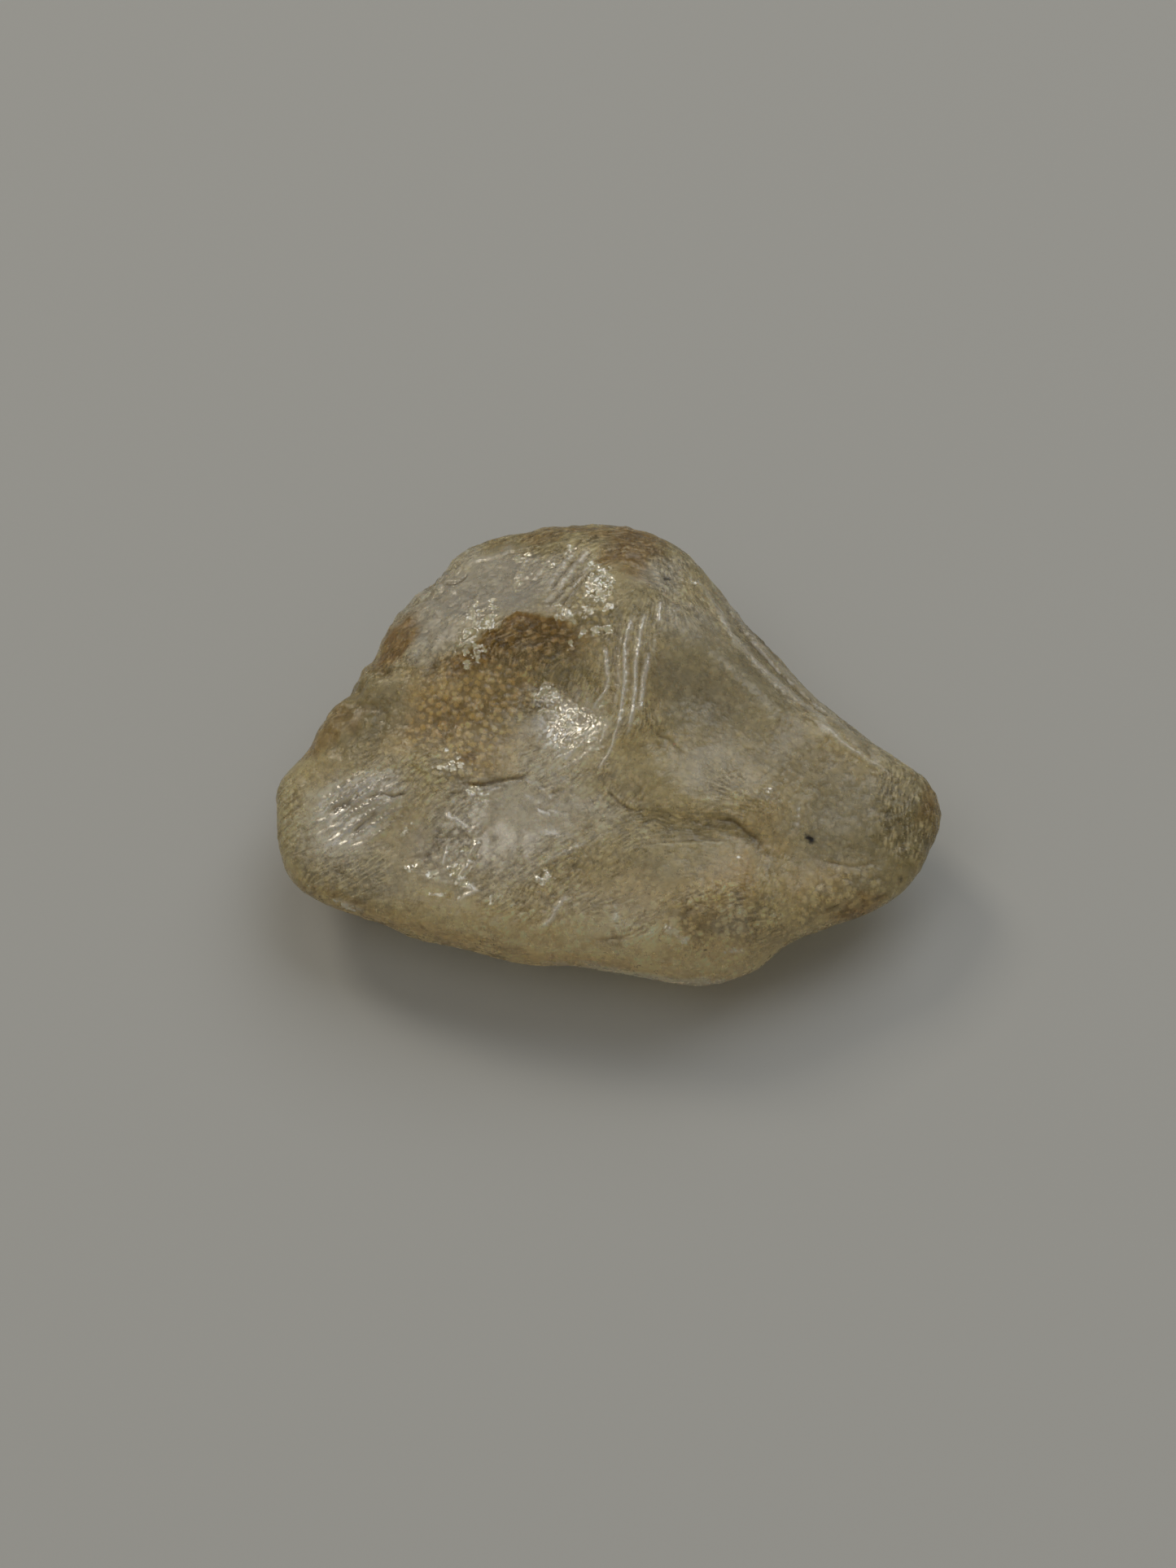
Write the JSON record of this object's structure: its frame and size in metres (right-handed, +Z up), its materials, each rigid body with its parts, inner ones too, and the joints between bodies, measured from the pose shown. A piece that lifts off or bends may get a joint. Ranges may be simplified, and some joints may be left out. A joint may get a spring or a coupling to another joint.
{
  "type": "raw amber piece",
  "caption": "Rough broken lump of cloudy straw-coloured amber with scooped fracture scars, a ribbed welt and rusty stains, lying on a flat face.",
  "frame": {"origin": "middle of the bounding box at the table, under the lump", "axes": "+X along the lump's length to its pointed end, +Z up from the table, -Y towards the side the picture is taken from"},
  "size_m": [0.04, 0.03, 0.0125],
  "materials": {
    "amber": "cloudy resin with a slightly frosted skin and iron-brown stains"
  },
  "bodies": {
    "root": {"amber": "amber"}
  },
  "joints": []
}
